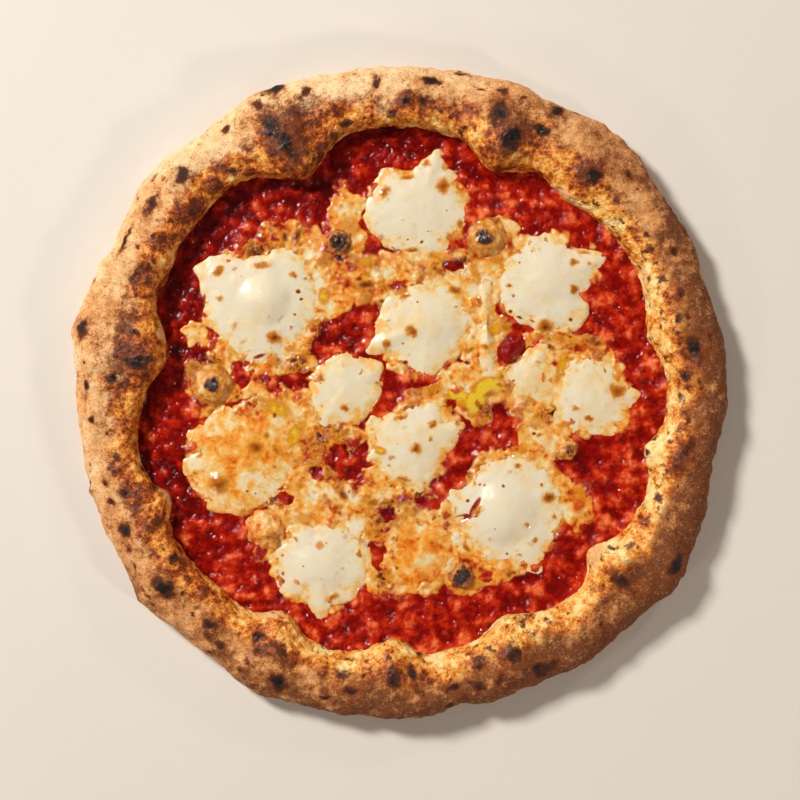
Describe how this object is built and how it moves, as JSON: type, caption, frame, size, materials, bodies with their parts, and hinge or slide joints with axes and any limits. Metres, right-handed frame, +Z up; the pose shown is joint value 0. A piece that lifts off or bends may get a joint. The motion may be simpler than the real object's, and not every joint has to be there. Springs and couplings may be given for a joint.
{
  "type": "margherita pizza",
  "caption": "Whole round Neapolitan pizza, baked and uncut: puffed uneven rim, tomato sauce, melted mozzarella, a tomato lump and charred blisters.",
  "frame": {"origin": "centre of the flat underside", "axes": "+Z up, out of the topping; +X and +Y lie in the underside, +Y towards the edge between the two largest top blisters of the rim"},
  "size_m": [0.3118, 0.312, 0.0265],
  "materials": {
    "crust": "baked wheat dough, floury and matt, leopard-spotted with char",
    "tomato_sauce": "wet cooked tomato pulp",
    "mozzarella": "melted cow's-milk mozzarella, oily, with browned spots",
    "blister": "oily blistered cheese skin, browned to black on top"
  },
  "bodies": {
    "root": {"crust": "crust", "tomato_sauce": "tomato_sauce", "tomato_lump": "tomato_sauce", "mozzarella_1": "mozzarella", "mozzarella_2": "mozzarella", "mozzarella_3": "mozzarella", "mozzarella_4": "mozzarella", "mozzarella_5": "mozzarella", "mozzarella_6": "mozzarella", "mozzarella_7": "mozzarella", "mozzarella_8": "mozzarella", "mozzarella_9": "mozzarella", "mozzarella_10": "mozzarella", "mozzarella_11": "mozzarella", "mozzarella_12": "mozzarella", "mozzarella_13": "mozzarella", "mozzarella_14": "mozzarella", "mozzarella_15": "mozzarella", "blister_1": "blister", "blister_2": "blister", "blister_3": "blister", "blister_4": "blister", "blister_5": "blister", "blister_6": "blister"}
  },
  "joints": []
}
